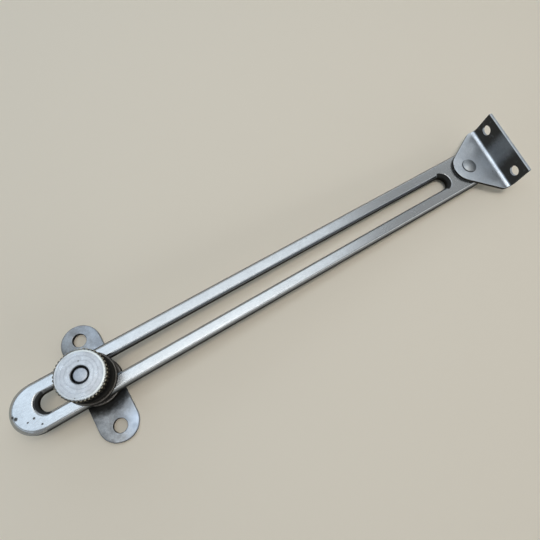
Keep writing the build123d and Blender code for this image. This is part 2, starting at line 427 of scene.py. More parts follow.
class Value:
    """One socket of a shader graph. Sums on it add Math nodes."""

    def __init__(self, graph: "Graph", socket: bpy.types.NodeSocket) -> None:
        """Wraps a socket of the graph."""
        self.graph = graph
        self.socket = socket

    def _math(self, operation: str, *terms: "Value | float") -> "Value":
        """Adds a Math node with these inputs, in order."""
        return self.graph.node("ShaderNodeMath", {"operation": operation}, dict(enumerate(terms)))

    def _vector(self, operation: str, other: Point, output: str) -> "Value":
        """Adds a Vector Math node with this vector first."""
        settings = {"operation": operation}
        return self.graph.node("ShaderNodeVectorMath", settings, {0: self, 1: other}, output)

    def __add__(self, other: "Value | float") -> "Value":
        """Sum."""
        return self._math("ADD", self, other)

    def __radd__(self, other: float) -> "Value":
        """Sum with a number on the left."""
        return self._math("ADD", other, self)

    def __sub__(self, other: "Value | float") -> "Value":
        """Difference."""
        return self._math("SUBTRACT", self, other)

    def __rsub__(self, other: float) -> "Value":
        """Difference from a number."""
        return self._math("SUBTRACT", other, self)

    def __mul__(self, other: "Value | float") -> "Value":
        """Product."""
        return self._math("MULTIPLY", self, other)

    def __rmul__(self, other: float) -> "Value":
        """Product with a number on the left."""
        return self._math("MULTIPLY", other, self)

    def root(self) -> "Value":
        """Square root."""
        return self._math("SQRT", self)

    def size(self) -> "Value":
        """Absolute value."""
        return self._math("ABSOLUTE", self)

    def wave(self) -> "Value":
        """Sine."""
        return self._math("SINE", self)

    def at_least(self, other: "Value | float") -> "Value":
        """Greater of the two."""
        return self._math("MAXIMUM", self, other)

    def at_most(self, other: "Value | float") -> "Value":
        """Lesser of the two."""
        return self._math("MINIMUM", self, other)

    def rise(self, low: float, high: float) -> "Value":
        """Smooth step.

        Args:
            low: Where the result is 0.
            high: Where it is 1. It may be the lesser of the two.

        Returns:
            A mask from 0 to 1.
        """
        source, start, end = (self, low, high) if low < high else (0 - self, -low, -high)
        return self.graph.node(
            "ShaderNodeMapRange",
            {"interpolation_type": "SMOOTHSTEP"},
            {"Value": source, "From Min": start, "From Max": end},
        )

    def output(self, name: str) -> "Value":
        """Another output of the same node."""
        return Value(self.graph, self.socket.node.outputs[name])

    def axes(self) -> tuple["Value", "Value", "Value"]:
        """The three parts of a vector."""
        parts = self.graph.node("ShaderNodeSeparateXYZ", {}, {"Vector": self})
        return parts, parts.output("Y"), parts.output("Z")

    def stretched(self, factors: Point) -> "Value":
        """A vector times a factor on each axis."""
        return self._vector("MULTIPLY", factors, "Vector")

    def past(self, point: Point) -> "Value":
        """Coordinates counted from a point."""
        return self._vector("SUBTRACT", point, "Vector")

    def distance(self, point: Point) -> "Value":
        """Distance of coordinates from a point."""
        return self._vector("DISTANCE", point, "Value")

    def radius(self) -> "Value":
        """Distance of coordinates from the upright axis through their origin."""
        x, y, _ = self.axes()
        return (x * x + y * y).root()

    def cloud(self, scale: float, detail: float = 4, roughness: float = 0.6) -> "Value":
        """Soft noise from about 0.3 to 0.7 over coordinates.

        Args:
            scale: Patches per millimetre.
            detail: Octaves.
            roughness: Weight of the finer octaves.

        Returns:
            The noise.
        """
        return self.graph.node(
            "ShaderNodeTexNoise",
            {"noise_dimensions": "3D"},
            {"Vector": self, "Scale": scale, "Detail": detail, "Roughness": roughness},
        )

    def ragged(self, scale: float, reach: float) -> "Value":
        """Noise for ragged borders, of up to half the reach to each side of 0."""
        return self.cloud(scale) * reach - reach / 2

    def specks(self, scale: float, share: float, radius: float) -> "Value":
        """Sparse round spots over coordinates.

        Args:
            scale: Cells per millimetre.
            share: Share of the cells that hold a spot.
            radius: Radius of the largest spots, as a share of a cell.

        Returns:
            A mask that is 1 in the spots.
        """
        cells = self.graph.node(
            "ShaderNodeTexVoronoi", {"feature": "F1"}, {"Vector": self, "Scale": scale}
        )
        luck = cells.output("Color").axes()[0]
        reach = luck.rise(1 - share, 1) * radius
        return (reach - cells.output("Distance")).rise(0, radius * 0.35)


class Graph:
    """The nodes of one material."""

    def __init__(self, name: str) -> None:
        """Makes an empty material with its output and its surface shader.

        Args:
            name: The material's name.
        """
        self.material = bpy.data.materials.new(name)
        self.material.use_nodes = True
        self.tree = self.material.node_tree
        self.tree.nodes.clear()
        self.shader = self.tree.nodes.new("ShaderNodeBsdfPrincipled")
        output = self.tree.nodes.new("ShaderNodeOutputMaterial")
        self.tree.links.new(self.shader.outputs["BSDF"], output.inputs["Surface"])

    def node(
        self,
        kind: str,
        settings: Mapping[str, object],
        inputs: Mapping[str | int, object],
        output: str | int = 0,
    ) -> Value:
        """Adds a node.

        Args:
            kind: The node's type.
            settings: Its properties, set first.
            inputs: Values or links of its sockets, by name or number.
            output: The output that is returned.

        Returns:
            The chosen output.
        """
        made = self.tree.nodes.new(kind)
        for name, setting in settings.items():
            setattr(made, name, setting)
        for key, value in inputs.items():
            if isinstance(value, Value):
                self.tree.links.new(value.socket, made.inputs[key])
            else:
                made.inputs[key].default_value = value
        return Value(self, made.outputs[output])

    def place(self) -> Value:
        """The object's own coordinates in millimetres."""
        own = self.node("ShaderNodeTexCoord", {}, {}, "Object")
        return self.node("ShaderNodeVectorMath", {"operation": "SCALE"}, {0: own, "Scale": 1 / MM})

    def up(self) -> Value:
        """How far the surface faces up, from -1 to 1."""
        return self.node("ShaderNodeTexCoord", {}, {}, "Normal").axes()[2]

    def blend(self, amount: Value | float, first: Value | Colour, last: Value | Colour) -> Value:
        """Mixes two colours.

        Args:
            amount: Share of the second.
            first: Colour at 0.
            last: Colour at 1.

        Returns:
            The mixed colour.
        """
        inputs = {0: amount}
        for slot, colour in ((6, first), (7, last)):
            inputs[slot] = colour if isinstance(colour, Value) else (*colour, 1)
        return self.node("ShaderNodeMix", {"data_type": "RGBA"}, inputs, 2)

    def surface(self, **channels: Value | float | Colour) -> None:
        """Feeds the surface shader.

        Args:
            channels: Its sockets, with a low line for a blank in the name.
        """
        for name, value in channels.items():
            socket = self.shader.inputs[name.replace("_", " ")]
            if isinstance(value, Value):
                self.tree.links.new(value.socket, socket)
            elif isinstance(value, tuple):
                socket.default_value = (*value, 1)
            else:
                socket.default_value = value


@dataclass(frozen=True)
class WornMetal:
    """Plated iron, clouded and speckled by age.

    A pair of numbers for an edge says where a mask begins and where it is full. Rates are in
    radians per millimetre.
    """

    name: str
    bright: Colour
    dull: Colour
    dark: Colour = (0.007, 0.006, 0.004)
    gloss: float = 0.30
    dull_gloss: float = 0.42
    fine_gloss: float = 0.03
    bevel_polish: float = 0.12
    darkened_gloss: float = 0.4
    roughest: float = 0.95
    specular: float = 0.08
    patches: float = 0.25
    grain: float = 2.2
    grain_way: Point = (1.0, 1.0, 1.0)
    grain_height: float = 0.012
    speck_share: float = 0.10
    speck_size: float = 0.22
    speck_scale: float = 0.8
    speck_depth: float = 0.02
    speck_dark: float = 0.75
    wall_darkening: float = 0.6
    wall_edge: Edge = (0.62, 0.18)
    bevel_low: Edge = (0.5, 0.62)
    bevel_high: Edge = (0.88, 0.8)

    # The base version darkens only the upright walls; the finishes below add dirt and painted shade
    # to this mask.
    def dirt_and_shade(self, place: Value) -> Value:
        """Where the colour goes dark, from coordinates in millimetres: on the upright walls."""
        ragged = place.cloud(0.7).rise(0.3, 0.6) * 0.03 + 0.97
        return place.graph.up().size().rise(*self.wall_edge) * ragged * self.wall_darkening

    def bevel(self, graph: Graph) -> Value:
        """Marks the upper bevels, which hands have rubbed smooth."""
        up = graph.up()
        return up.rise(*self.bevel_low) * up.rise(*self.bevel_high)

    def relief(self, place: Value) -> Value | float:
        """Height of tool marks, in millimetres. None on a plain piece."""
        return 0.0

    def tint(self, place: Value, colour: Value) -> Value:
        """Changes the metal's own colour. A plain piece keeps it."""
        return colour

    def material(self) -> bpy.types.Material:
        """Builds the material.

        Returns:
            The material.
        """
        graph = Graph(self.name)
        place = graph.place()
        brushed = place.stretched(self.grain_way)
        clouds = place.cloud(self.patches, 5, 0.65).rise(0.35, 0.65)
        fine = brushed.cloud(self.grain, 4, 0.7).rise(0.32, 0.68)
        waves = brushed.cloud(self.grain, 1, 0.5)
        specks = place.specks(self.speck_scale, self.speck_share, self.speck_size)
        dirt_and_shade = self.dirt_and_shade(place)
        colour = graph.blend((clouds + fine) * 0.5, self.bright, self.dull)
        colour = graph.blend(specks * self.speck_dark, self.tint(place, colour), self.dark)
        shine = clouds * (self.dull_gloss - self.gloss) + self.gloss
        shine = shine + fine * self.fine_gloss - self.fine_gloss / 2
        shine = shine - self.bevel(graph) * self.bevel_polish
        height = waves * self.grain_height - specks * self.speck_depth + self.relief(place)
        bump = {"Height": height * MM, "Distance": 1.0, "Strength": 1.0}
        graph.surface(
            Base_Color=graph.blend(dirt_and_shade, colour, self.dark),
            Roughness=(shine + dirt_and_shade * self.darkened_gloss).at_most(self.roughest),
            Metallic=1 - dirt_and_shade,
            Specular_IOR_Level=self.specular,
            Normal=graph.node("ShaderNodeBump", {}, bump),
        )
        return graph.material

    def dress(self, piece: bpy.types.Object) -> None:
        """Gives the piece this finish alone."""
        piece.data.materials.clear()
        piece.data.materials.append(self.material())


@dataclass(frozen=True)
class ArmPlating(WornMetal):
    """Bright plating along the arm, pitted by the tip and dark round the ends of the slot.

    Each pit is its place along and across the arm, and its reach.
    """

    slot_end: Point = (SLOT_END, ARM_LINE, ARM_TOP)
    slot_start: Point = (SLOT_START, ARM_LINE, ARM_TOP)
    slot_edge: float = 4.2
    far_rim: Edge = (0.15, -0.1)
    near_rim: Edge = (-0.15, -0.5)
    far_half: Edge = (-0.2, 0.6)
    near_half: Edge = (0.2, -0.6)
    pits: tuple[Point, ...] = (
        (-24.3, 1.1, 0.7),
        (-23.5, 0.2, 0.75),
        (-18.9, -2.3, 0.5),
        (-20.9, -2.6, 0.35),
        (-17.4, -5.1, 0.4),
    )
    pit_core: float = 0.35

    def dirt_and_shade(self, place: Value) -> Value:
        """Dark pits near the tip and darkening round the slot's ends, over that on the walls.

        Args:
            place: Coordinates in millimetres.

        Returns:
            The mask.
        """
        ragged = place.cloud(2.2, 3) * 0.5 - 0.25
        mask = super().dirt_and_shade(place)
        for x, y, reach in self.pits:
            gap = place.distance((x, y, self.slot_end[2])) + ragged
            mask = mask.at_least(gap.rise(reach, reach * self.pit_core) * 0.8)
        here = place.past(self.slot_end)
        rim = self.rim(here, here.radius(), self.far_rim, self.far_half)
        mask = mask.at_least(rim * 0.95)
        here = place.past(self.slot_start)
        rim = self.rim(here, here.radius() + ragged * 0.3, self.near_rim, self.near_half)
        return mask.at_least(rim * 0.9)

    def rim(self, here: Value, away: Value, edge: Edge, half: Edge) -> Value:
        """Marks the rim of one end of the slot, from coordinates about the end's centre."""
        start, full = (self.slot_edge + step for step in edge)
        return away.rise(start, full) * here.axes()[0].rise(*half)


@dataclass(frozen=True)
class NutPlating(WornMetal):
    """Turned and knurled metal: fine rings on the face, dirt and painted shade in the knurl and
    round the neck, and a painted highlight on the rim.
    """

    face_height: float = 22.8
    head_base: float = 19.2
    flange_top: float = 15.8
    crest: float = 7.85
    root: float = 7.4
    recess: float = 2.65
    ring_pitch: float = 0.42
    ring_height: float = 0.004
    brass: Colour = (0.62, 0.55, 0.36)
    brass_edge: Edge = (7.3, 7.6)
    # Colour and place of a painted highlight on the rim of the face, strongest towards +X.
    rim: Colour = (0.568, 0.594, 0.568)
    rim_highlight_edge: Edge = (6.6, 6.95)
    rim_highlight_height: Edge = (22.0, 22.4)
    rim_highlight_side: Edge = (-3.0, 5.0)
    smear_rate: float = 5.2
    smear_waviness: float = 9.0
    smear_share: float = 0.14

    def dirt_and_shade(self, place: Value) -> Value:
        """Dirt and painted shade in the knurl's grooves, round the neck and in the recess.

        Args:
            place: Coordinates in millimetres.

        Returns:
            The mask.
        """
        z = place.axes()[2]
        away = place.radius()
        below_face = z.rise(self.face_height - 0.12, self.face_height - 0.5)
        above_flange = z.rise(self.flange_top + 0.1, self.flange_top + 0.7)
        # Dirt and painted shade: dark in the knurl's grooves, in a thin line at the roots of the
        # teeth, under the head round the neck and in the recess.
        groove = away.rise(self.crest - 0.02, self.root + 0.12)
        lip = away.rise(self.root, self.root + 0.06) * away.rise(self.root + 0.24, self.root + 0.16)
        outside = away.rise(self.recess + 0.3, self.recess + 0.6)
        inside = away.rise(self.recess + 0.02, self.recess - 0.1)
        nut_dirt_and_shade = (groove * below_face * above_flange * outside).at_least(inside * below_face) * 0.98
        nut_dirt_and_shade = nut_dirt_and_shade.at_least(z.rise(self.head_base + 0.1, self.head_base - 0.3) * 0.97)
        nut_dirt_and_shade = nut_dirt_and_shade.at_least(lip * z.rise(self.head_base, self.head_base + 0.5) * 0.9)
        return nut_dirt_and_shade.at_least(super().dirt_and_shade(place))

    def relief(self, place: Value) -> Value:
        """Fine rings left by the turning tool on the face and the flange.

        Args:
            place: Coordinates in millimetres.

        Returns:
            The height.
        """
        away = place.radius() + place.cloud(0.35, 2, 0.55) * 0.3
        turns = 2 * math.pi / self.ring_pitch
        return ((away * turns).wave() + (away * (turns * 2.7)).wave() * 0.4) * self.ring_height

    def tint(self, place: Value, colour: Value) -> Value:
        """Worn knurl crests, warmer than the plating, a smeared face and a painted highlight on the
        rim, strongest towards +X.

        Args:
            place: Coordinates in millimetres.
            colour: The metal's own colour.

        Returns:
            The changed colour.
        """
        blend = place.graph.blend
        x, _, z = place.axes()
        away = place.radius()
        crests = away.rise(*self.brass_edge) * z.rise(self.face_height - 0.1, self.face_height - 0.5)
        crests = crests * z.rise(self.head_base - 0.3, self.head_base)
        smears = (away * self.smear_rate + place.cloud(0.25) * self.smear_waviness).wave()
        # Painted highlight on the rim of the face, stronger towards +X.
        rim = away.rise(*self.rim_highlight_edge) * away.rise(self.root + 0.05, self.root)
        rim = rim * z.rise(*self.rim_highlight_height) * (x.rise(*self.rim_highlight_side) * 0.5 + 0.15)
        colour = blend(crests * 0.8, colour, self.brass)
        colour = blend(smears.rise(0.1, 0.9) * self.smear_share, colour, self.dark)
        return blend(rim, colour, self.rim)


@dataclass(frozen=True)
class BracketPlating(WornMetal):
    """Folded sheet, with a painted dark reflection inside the flange that is lighter in the middle.
    """

    rivet: Point = (RIVET_X, ARM_LINE, ARM_TOP)
    turned_by: float = BRACKET_TURN
    flange_inside: float = FLANGE_INSIDE
    flange_outside: float = 13.6
    flange_rise: float = 12.7
    # Where the painted dark reflection inside the flange eases off towards its middle.
    reflection_middle_edge: Edge = (1.5, 6.5)
    ring_edge: Edge = (3.25, 3.0)
    ring_height: Edge = (1.6, 1.3)

    def dirt_and_shade(self, place: Value) -> Value:
        """Painted dark reflection on the inner face of the flange, dark cut edges, and dirt with a
        painted shadow round the rivet.

        Args:
            place: Coordinates in millimetres.

        Returns:
            The mask.
        """
        here = place.past(self.rivet)
        x, y, z = here.axes()
        lean = math.radians(self.turned_by)
        out = x * math.cos(lean) + y * math.sin(lean)
        along = y * math.cos(lean) - x * math.sin(lean)
        ragged = place.ragged(0.45, 1.6)
        within, beyond = self.flange_inside, self.flange_outside
        # Painted dark reflection on the inner face of the flange, weaker in the middle along it.
        inner = out.rise(within - 1.1, within - 0.4) * out.rise(within + 0.25, within + 0.05)
        below_top = z.rise(self.flange_rise - 0.02, self.flange_rise - 0.5)
        painted_reflection = (along.size() + ragged * 2.5).rise(*self.reflection_middle_edge)
        painted_dark_reflection = inner * below_top * (painted_reflection * 0.26 + 0.7) * (1 - ragged.rise(0.1, 0.5) * 0.2)
        outer = out.rise(beyond - 0.4, beyond - 0.1)
        cut_edge = super().dirt_and_shade(place) * (1 - inner) * (1 - outer * 0.5)
        middle = out.rise(within + 0.1, within + 0.3) * out.rise(beyond - 0.05, beyond - 0.25)
        cut_edge = cut_edge.at_least(middle * z.rise(3.0, 4.0) * 0.35)
        # Dirt and a painted contact shadow in a ring round the rivet.
        ring = here.radius().rise(*self.ring_edge) * z.rise(*self.ring_height)
        return painted_dark_reflection.at_least(cut_edge).at_least(ring * 0.9)


@dataclass(frozen=True)
class PlatePlating(WornMetal):
    """Dull plating, scored in arcs where the collar has turned."""

    score_radius: float = 10.6
    score_edge: Edge = (1.6, 0.6)
    score_rate: float = 14.0
    score_depth: float = 0.02
    # Colour of a painted bluish reflection along one side of the plate.
    painted_reflection: Colour = (0.317, 0.376, 0.462)
    reflection_side: Edge = (-2.5, 6.5)
    reflection_end: Edge = (-12.0, -17.0)
    darker_side: Edge = (-1.0, -7.0)
    undarkened_wall: Edge = (5.5, 2.5)
    # Reach and side of a painted shadow beside the collar.
    shade_reach: Edge = (12.4, 9.2)
    shade_side: Edge = (-2.0, -6.0)

    def relief(self, place: Value) -> Value:
        """Fine arcs round the stud.

        Args:
            place: Coordinates in millimetres.

        Returns:
            The height.
        """
        away = place.radius()
        band = (away - self.score_radius).size().rise(*self.score_edge)
        lines = (away * self.score_rate).wave().rise(0.55, 0.95)
        return band * lines * -self.score_depth

    def dirt_and_shade(self, place: Value) -> Value:
        """Dark walls, but not on the side with the painted reflection, and a painted shadow beside
        the collar.

        Args:
            place: Coordinates in millimetres.

        Returns:
            The mask.
        """
        x, y, _ = place.axes()
        away = place.radius() + place.ragged(0.6, 3)
        # Painted shadow of the collar and arm on the plate, on the -Y side.
        painted_shade = away.rise(*self.shade_reach) * y.rise(*self.shade_side) * 0.9
        return (super().dirt_and_shade(place) * x.rise(*self.undarkened_wall)).at_least(painted_shade)

    def tint(self, place: Value, colour: Value) -> Value:
        """A painted bluish reflection along one side, most at the lower end, and darker along the
        other.

        Args:
            place: Coordinates in millimetres.
            colour: The metal's own colour.

        Returns:
            The changed colour.
        """
        x, y, _ = place.axes()
        across = x + place.ragged(0.3, 5)
        # Painted reflection on the +X side, strongest at the -Y end; the -X side darkens.
        painted_reflection = across.rise(*self.reflection_side) * (y.rise(*self.reflection_end) * 0.6 + 0.35)
        colour = place.graph.blend(across.rise(*self.darker_side) * 0.35, colour, self.dark)
        return place.graph.blend(painted_reflection, colour, self.painted_reflection)


# ---------------------------------------------------------------------------------------------
# Pieces
# ---------------------------------------------------------------------------------------------


def settle(piece: bpy.types.Object, body: str, finish: WornMetal) -> bpy.types.Object:
    """Dresses a finished piece and puts it in the place of its plain one.

    Args:
        piece: The finished mesh, named like its plain piece with "_seen" after it.
        body: The body that it rides on.
        finish: The finish.

    Returns:
        The piece.
    """
    finish.dress(piece)
    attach(piece, body)
    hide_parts(piece.name.removesuffix("_seen"))
    LOG.info("%s rides on %s with %d faces", piece.name, body, len(piece.data.polygons))
    return piece


@dataclass
class SlottedArm:
    """The long bar with its slot, rounded along the top."""

    tip: float = -25.6
    rivet: float = RIVET_X
    line: float = ARM_LINE
    half_width: float = 8.0
    slot_start: float = SLOT_START
    slot_end: float = SLOT_END
    slot_half: float = 3.0
    base: float = ARM_BASE
    top: float = ARM_TOP
    edge_bevel: float = 1.3
    slot_bevel: float = 1.2
    under_bevel: float = 0.3
    worn_edge: float = 0.3
    steps: int = 40
    finish: WornMetal = ArmPlating(
        name="arm plating",
        bright=(0.396, 0.416, 0.436),
        dull=(0.343, 0.363, 0.383),
        grain_way=(0.35, 1.0, 1.0),
        gloss=0.24,
        dull_gloss=0.27,
        grain_height=0.003,
        speck_share=0.02,
        wall_darkening=1.0,
    )

    def outline(self, blank: Blank, start: float, end: float, radius: float) -> None:
        """Draws a bar's outline with round ends at the height of the arm's top.

        Args:
            blank: The mesh, with its last point at the start of the near straight side.
            start: Centre of the end at the tip.
            end: Centre of the end at the rivet.
            radius: Radius of the ends.
        """
        blank.line((end, self.line - radius, self.top))
        blank.arc((end, self.line, self.top), 180, self.steps)
        blank.line((start, self.line + radius, self.top))
        blank.arc((start, self.line, self.top), 180, self.steps)

    def build(self) -> bpy.types.Object:
        """Models the arm.

        Returns:
            The arm.
        """
        left = self.tip + self.half_width
        blank = Blank("slotted_arm_seen", (left, self.line - self.half_width, self.top))
        self.outline(blank, left, self.rivet, self.half_width)
        blank.point((self.slot_start, self.line - self.slot_half, self.top))
        self.outline(blank, self.slot_start, self.slot_end, self.slot_half)
        blank.join().everything().bridge()
        blank.everything().extrude((0, 0, self.base - self.top))
        blank.close()
        on_top, above_base = self.top - NEAR, self.base + 0.5
        blank.ease(lambda at, way: at.z > on_top and self.outer(at), CORNER, self.edge_bevel, 1)
        blank.ease(lambda at, way: at.z > on_top and not self.outer(at), CORNER, self.slot_bevel, 1)
        blank.ease(lambda at, way: at.z > above_base and abs(way.z) < 0.5, 35, self.worn_edge, 2)
        blank.ease(lambda at, way: at.z < self.base + NEAR, CORNER, self.under_bevel, 1)
        return settle(blank.finish(40), "arm", self.finish)

    def outer(self, place: Vector) -> bool:
        """True for a place on the arm's outer wall."""
        beside = abs(place.y - self.line) > (self.half_width + self.slot_half) / 2
        return beside or not (self.tip + self.slot_start) / 2 <= place.x <= self.rivet


@dataclass
class ScrewPlate:
    """The plate with round ends that is screwed down, with the stud's hole in it."""

    half_length: float = 21.8
    half_width: float = 6.7
    thickness: float = PLATE_TOP
    screw_place: float = 16.5
    screw_radius: float = 2.35
    stud_radius: float = 2.35
    edge_bevel: float = 0.35
    hole_bevel: float = 0.25
    steps: int = 32
    finish: WornMetal = PlatePlating(
        name="plate plating",
        bright=(0.264, 0.284, 0.304),
        dull=(0.152, 0.158, 0.165),
        gloss=0.34,
        dull_gloss=0.50,
        grain_height=0.015,
        wall_darkening=0.85,
    )

    def build(self) -> bpy.types.Object:
        """Models the plate.

        Returns:
            The plate.
        """
        reach = self.half_length - self.half_width
        blank = Blank("base_plate_seen", (self.half_width, -reach, 0))
        blank.line((self.half_width, reach, 0)).arc((0, reach, 0), 180, self.steps)
        blank.line((-self.half_width, -reach, 0)).arc((0, -reach, 0), 180, self.steps)
        blank.join().everything().fill()
        blank.extrude((0, 0, self.thickness))
        for place, radius in (
            (-self.screw_place, self.screw_radius),
            (0, self.stud_radius),
            (self.screw_place, self.screw_radius),
        ):
            middle = (0, place, self.thickness / 2)
            blank.cut(drill(radius, middle, 2 * self.thickness, (0, 0, 1), 40))
        on_top = self.thickness - NEAR
        blank.ease(lambda at, way: at.z > on_top and self.on_rim(at), CORNER, self.edge_bevel, 3)
        blank.ease(lambda at, way: at.z > on_top and not self.on_rim(at), CORNER, self.hole_bevel, 2)
        return settle(blank.finish(), "base", self.finish)

    def on_rim(self, at: Vector) -> bool:
        """True for a place on the plate's outer wall."""
        past_middle = max(abs(at.y) - (self.half_length - self.half_width), 0)
        return math.hypot(at.x, past_middle) > self.half_width - 0.5


@dataclass
class StudStack:
    """The stud, the collar that carries the arm and the washer that clamps it."""

    plate_top: float = PLATE_TOP
    shoulder_top: float = 2.6
    collar_step: float = 5.0
    arm_base: float = ARM_BASE
    arm_top: float = ARM_TOP
    nut_base: float = NUT_BASE
    stud_end: float = 22.3
    shank: float = 2.3
    thread: float = 2.45
    shoulder: float = 3.5
    tail: float = 3.3
    tail_height: float = 0.9
    collar_flange: float = 8.2
    collar_hub: float = 5.6
    washer: float = 8.4
    washer_bore: float = 2.75
    play: float = 0.05
    stud_finish: WornMetal = WornMetal(
        name="stud steel",
        gloss=0.34,
        bright=(0.317, 0.343, 0.383),
        dull=(0.224, 0.244, 0.277),
    )
    # Dark colours for the collar: partly its own dark metal and partly painted shade under the arm.
    collar_dark_and_shade: WornMetal = WornMetal(
        name="collar steel",
        bright=(0.172, 0.165, 0.158),
        dull=(0.066, 0.059, 0.053),
        gloss=0.28,
        wall_darkening=1.0,
    )
    # Dark colours for the washer: partly its own dark metal and partly painted shade under the nut.
    washer_dark_and_shade: WornMetal = WornMetal(
        name="washer steel",
        bright=(0.112, 0.106, 0.099),
        dull=(0.046, 0.043, 0.04),
        wall_darkening=1.0,
    )

    def build_stud(self) -> bpy.types.Object:
        """Turns the stud.

        Returns:
            The stud.
        """
        blank = turned(
            "threaded_stud_seen",
            [
                (0, 0, 0),
                (self.tail, 0, 0),
                (self.shank, self.tail_height, 0),
                (self.shank, self.plate_top, 0),
                (self.shoulder, self.plate_top, 0),
                (self.shoulder, self.shoulder_top, 0.2),
                (self.shank, self.shoulder_top, 0.1),
                (self.shank, self.arm_top, 0),
                (self.thread, self.arm_top + 0.15, 0),
                (self.thread, self.stud_end - 0.45, 0.2),
                (self.thread - 0.5, self.stud_end - 0.02, 0.4),
                (0, self.stud_end, 0),
            ],
            64,
            False,
        )
        return settle(blank.finish(), "base", self.stud_finish)

    def build_collar(self) -> bpy.types.Object:
        """Turns the collar.

        Returns:
            The collar.
        """
        seat = self.shoulder + self.play
        bore = self.shank + self.play
        blank = turned(
            "spacer_collar_seen",
            [
                (seat, self.plate_top, 0),
                (self.collar_flange, self.plate_top, 0.15),
                (self.collar_flange, self.collar_step, 0.4),
                (self.collar_hub, self.collar_step, 0.25),
                (self.collar_hub, self.arm_base, 0.1),
                (bore, self.arm_base, 0),
                (bore, self.shoulder_top + self.play, 0),
                (seat, self.shoulder_top + self.play, 0),
            ],
            96,
            True,
        )
        return settle(blank.finish(), "collar", self.collar_dark_and_shade)

    def build_washer(self) -> bpy.types.Object:
        """Turns the washer.

        Returns:
            The washer.
        """
        blank = turned(
            "clamp_washer_seen",
            [
                (self.washer_bore, self.arm_top, 0),
                (self.washer, self.arm_top, 0.12),
                (self.washer, self.nut_base, 0.3),
                (self.washer_bore, self.nut_base, 0.1),
                (self.washer_bore, self.arm_top + 0.2, 0),
            ],
            96,
            True,
        )
        return settle(blank.finish(), "washer", self.washer_dark_and_shade)


@dataclass
class ThumbNut:
    """The knurled nut, recessed round the stud's end."""

    base: float = NUT_BASE
    flange_top: float = 15.8
    neck_top: float = 19.2
    top: float = 22.8
    flange: float = 7.9
    neck: float = 6.3
    crest: float = 7.85
    root: float = 7.4
    face: float = 7.15
    face_drop: float = 0.45
    bore: float = 2.5
    recess: float = 2.65
    recess_floor: float = 20.4
    recess_bevel: float = 0.2
    teeth: int = 42
    cuts: int = 6
    depths: tuple[float, ...] = (0.0, 0.06, 0.24, 0.43)
    row_slack: float = 0.002
    finish: WornMetal = NutPlating(
        name="nut plating",
        bright=(0.376, 0.396, 0.422),
        dull=(0.277, 0.29, 0.31),
        patches=0.3,
        gloss=0.27,
        dull_gloss=0.36,
        grain_height=0.01,
        wall_darkening=1.0,
    )

    def build(self) -> bpy.types.Object:
        """Turns the nut and cuts its knurl.

        Returns:
            The nut.
        """
        blank = turned(
            "thumb_nut_seen",
            [
                (self.bore, self.base, 0),
                (self.flange, self.base, 0.15),
                (self.flange, self.flange_top, 0.35),
                (self.neck, self.flange_top, 0.25),
                (self.neck, self.neck_top, 0.25),
                (self.root, self.neck_top, 0),
                (self.crest, self.neck_top + self.face_drop, 0.1),
                (self.crest, self.top - self.face_drop, 0.12),
                (self.face, self.top, 0.15),
                (self.recess + self.recess_bevel, self.top, 0.05),
                (self.recess, self.top - self.recess_bevel, 0),
                (self.recess, self.recess_floor, 0),
                (self.bore, self.recess_floor, 0),
            ],
            self.teeth * self.cuts,
            True,
        )
        self.knurl(blank)
        return settle(blank.finish(50), "nut", self.finish)

    def knurl(self, blank: Blank) -> None:
        """Draws the grooves of the straight knurl in, one line of points at a time.

        Args:
            blank: The turned nut.
        """
        pitch = 360 / self.teeth
        for step, depth in enumerate(self.depths):
            limit = self.crest - depth
            turn_off = step * pitch / self.cuts
            for radius in self.rows(blank, limit):
                blank.pick(
                    Part.POINTS,
                    lambda at, way: at.z > self.neck_top - TOUCH
                    and abs(math.hypot(at.x, at.y) - radius) < self.row_slack
                    and self.off_crest(at, pitch, turn_off),
                )
                blank.shrink(limit / radius)

    def rows(self, blank: Blank, limit: float) -> list[float]:
        """Radii of the head's rows of points that lie outside a limit.

        Args:
            blank: The turned nut.
            limit: The radius that a groove leaves.

        Returns:
            The radii, each once.
        """
        mesh = bmesh.from_edit_mesh(blank.piece.data)
        found = {
            round(math.hypot(v.co.x, v.co.y) / MM, 3)
            for v in mesh.verts
            if v.co.z / MM > self.neck_top - TOUCH
        }
        return sorted(r for r in found if r > limit + 2 * self.row_slack)

    def off_crest(self, at: Vector, pitch: float, turn_off: float) -> bool:
        """True for a point at one angle from the nearest crest of the knurl."""
        angle = math.degrees(math.atan2(at.y, at.x)) % pitch
        return abs(min(angle, pitch - angle) - turn_off) < pitch / self.cuts / 4


